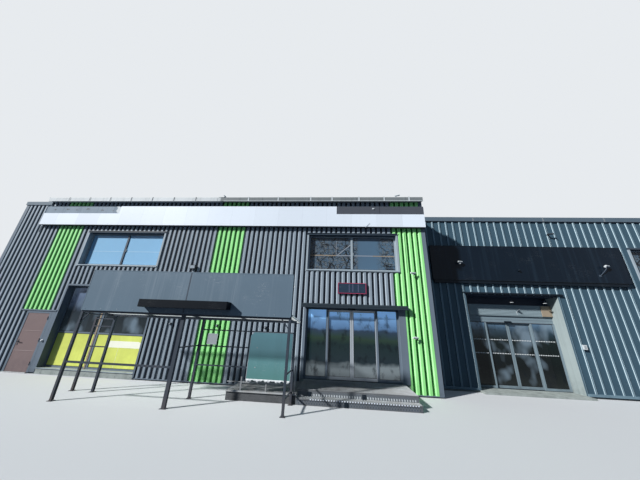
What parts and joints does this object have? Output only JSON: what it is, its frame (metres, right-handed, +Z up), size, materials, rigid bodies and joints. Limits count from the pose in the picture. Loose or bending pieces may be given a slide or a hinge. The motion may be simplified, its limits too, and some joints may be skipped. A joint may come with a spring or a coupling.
{
  "type": "supermarket building",
  "caption": "Metal-clad supermarket with ribbed sheet walls, glazed sliding entrances, a white fascia band, an entrance landing, a trolley shelter and a lower set-back wing.",
  "frame": {"origin": "on the ground under the centreline of the main front wall, on the centreline of the main entrance", "axes": "+X along the street front to the right, +Y into the building, +Z up"},
  "size_m": [30.545, 18.27, 7.3254],
  "materials": {
    "concrete": "weathered concrete",
    "wall_core": "insulated metal panel, satin",
    "roofing": "roof membrane, matt",
    "grey_sheet": "coated ribbed sheet, satin",
    "green_sheet": "coated ribbed sheet, satin",
    "wing_sheet": "coated ribbed sheet, satin",
    "grey_trim": "coated folded trim, satin",
    "pale_coping": "coated folded coping, weathered",
    "white_sheet": "coated flat sheet, satin",
    "bare_metal": "stained old paint, matt",
    "dark_strip": "coated flat sheet, satin",
    "window_frame": "coated aluminium, satin",
    "glass": "clear double glazing",
    "film": "plain coloured film panel",
    "brown_door": "painted steel door, satin",
    "steel": "brushed",
    "aluminium": "anodised",
    "dark_metal": "painted steel, worn",
    "black_metal": "flat black sheet",
    "display": "dark blank display, red frame",
    "galvanised": "galvanised steel",
    "shelter_panel": "coated flat sheet, stained",
    "screen": "translucent sheet",
    "white_plastic": "moulded housing"
  },
  "bodies": {
    "building": {"main_floor": "concrete", "wing_floor": "concrete", "upper_floor": "concrete", "front_wall_piers": "wall_core", "front_wall_beams": "wall_core", "door_lintels": "wall_core", "cross_walls": "wall_core", "rear_wall": "wall_core", "wing_wall_piers": "wall_core", "wing_wall_beams": "wall_core", "roof_decks": "roofing", "grey_sheets": "grey_sheet", "green_sheets": "green_sheet", "wing_sheets": "wing_sheet", "side_rear_sheets": "grey_sheet", "corner_trims": "grey_trim", "front_coping": "pale_coping", "low_copings": "grey_trim", "white_band": "white_sheet", "bare_strip": "bare_metal", "dark_strip": "dark_strip", "upper_window_frames": "window_frame", "upper_glass": "glass", "shop_window_frame": "grey_trim", "shop_lower_panels": "film", "ground_glass": "glass", "shop_plinth": "concrete", "service_door_frame": "grey_trim", "entrance_frame": "grey_trim", "entrance_hood": "dark_metal", "display_panel": "display", "landing_grating": "galvanised", "landing_supports": "galvanised", "shelter_frame": "dark_metal", "shelter_rails": "galvanised", "shelter_roof": "white_sheet", "shelter_front_panel": "shelter_panel", "shelter_box": "black_metal", "shelter_screen": "screen", "wing_recess_cheeks": "wing_sheet", "wing_recess_head": "grey_trim", "wing_entrance_frame": "grey_trim", "black_panel": "black_metal", "wall_fixtures": "white_plastic"},
    "service_door_leaf": {"service_door": "brown_door", "service_door_handle": "steel"},
    "entrance_left": {"entrance_leaf_left": "aluminium", "entrance_glass_left": "glass"},
    "entrance_right": {"entrance_leaf_right": "aluminium", "entrance_glass_right": "glass"},
    "wing_left": {"wing_leaf_left": "aluminium", "wing_glass_left": "glass"},
    "wing_right": {"wing_leaf_right": "aluminium", "wing_glass_right": "glass"}
  },
  "joints": [
    {"name": "service_door_hinge", "type": "hinge", "parent": "building", "child": "service_door_leaf", "pos_m": [-11.7475, -0.16, 0.035], "axis": [0, 0, 1], "range_deg": [0, 95]},
    {"name": "entrance_left_slide", "type": "slide", "parent": "building", "child": "entrance_left", "axis": [-1, 0, 0], "range_m": [0, 0.74]},
    {"name": "wing_left_slide", "type": "slide", "parent": "building", "child": "wing_left", "axis": [-1, 0, 0], "range_m": [0, 0.74]},
    {"name": "entrance_right_slide", "type": "slide", "parent": "building", "child": "entrance_right", "axis": [1, 0, 0], "range_m": [0, 0.74]},
    {"name": "wing_right_slide", "type": "slide", "parent": "building", "child": "wing_right", "axis": [1, 0, 0], "range_m": [0, 0.74]}
  ]
}
